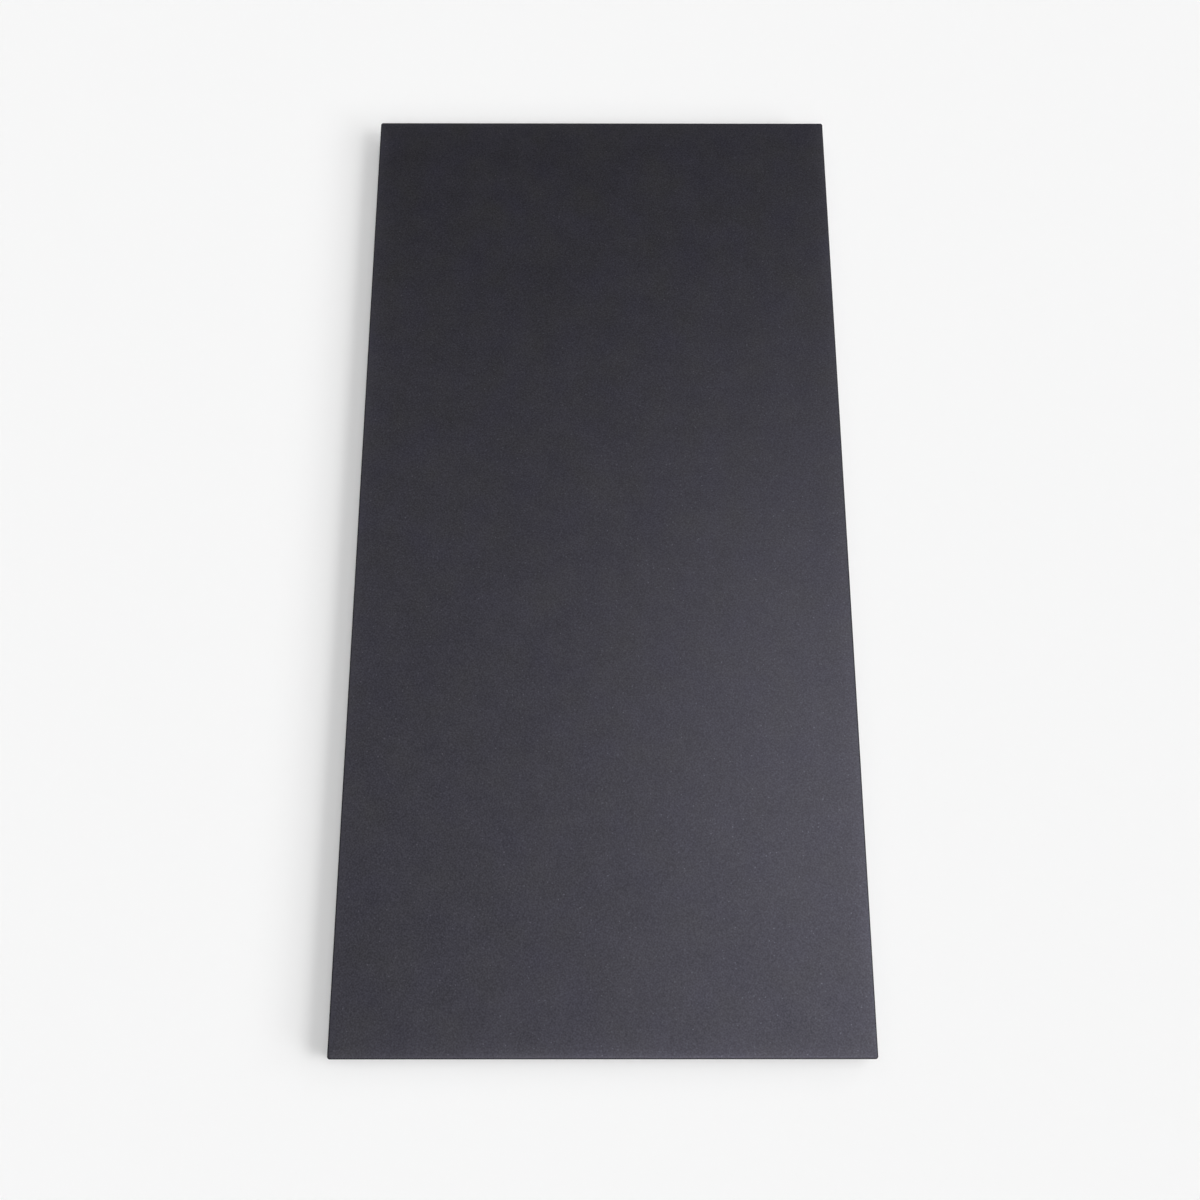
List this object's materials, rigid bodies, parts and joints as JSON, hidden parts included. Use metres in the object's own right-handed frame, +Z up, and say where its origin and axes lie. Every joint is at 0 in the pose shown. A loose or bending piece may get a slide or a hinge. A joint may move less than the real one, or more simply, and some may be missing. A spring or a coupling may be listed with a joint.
{
  "type": "cutting board",
  "caption": "Flat black rubber cutting board, reversible, with rubber faces and edge rails sealed round a light wooden core.",
  "frame": {"origin": "middle of the underside, where the board rests", "axes": "+Z up out of the cutting face, +Y along the length towards the rear end, +X across the width to the right"},
  "size_m": [0.3, 0.6, 0.02],
  "materials": {
    "face_rubber": "matte charcoal black with a fine even grain",
    "rail_rubber": "matte black, trimmed flush",
    "core_wood": "bare pale softwood, planed"
  },
  "bodies": {
    "root": {"top_face": "face_rubber", "bottom_face": "face_rubber", "left_rail": "rail_rubber", "right_rail": "rail_rubber", "front_rail": "rail_rubber", "rear_rail": "rail_rubber", "core_stave_1": "core_wood", "core_stave_2": "core_wood", "core_stave_3": "core_wood", "core_stave_4": "core_wood", "core_stave_5": "core_wood", "core_stave_6": "core_wood"}
  },
  "joints": []
}
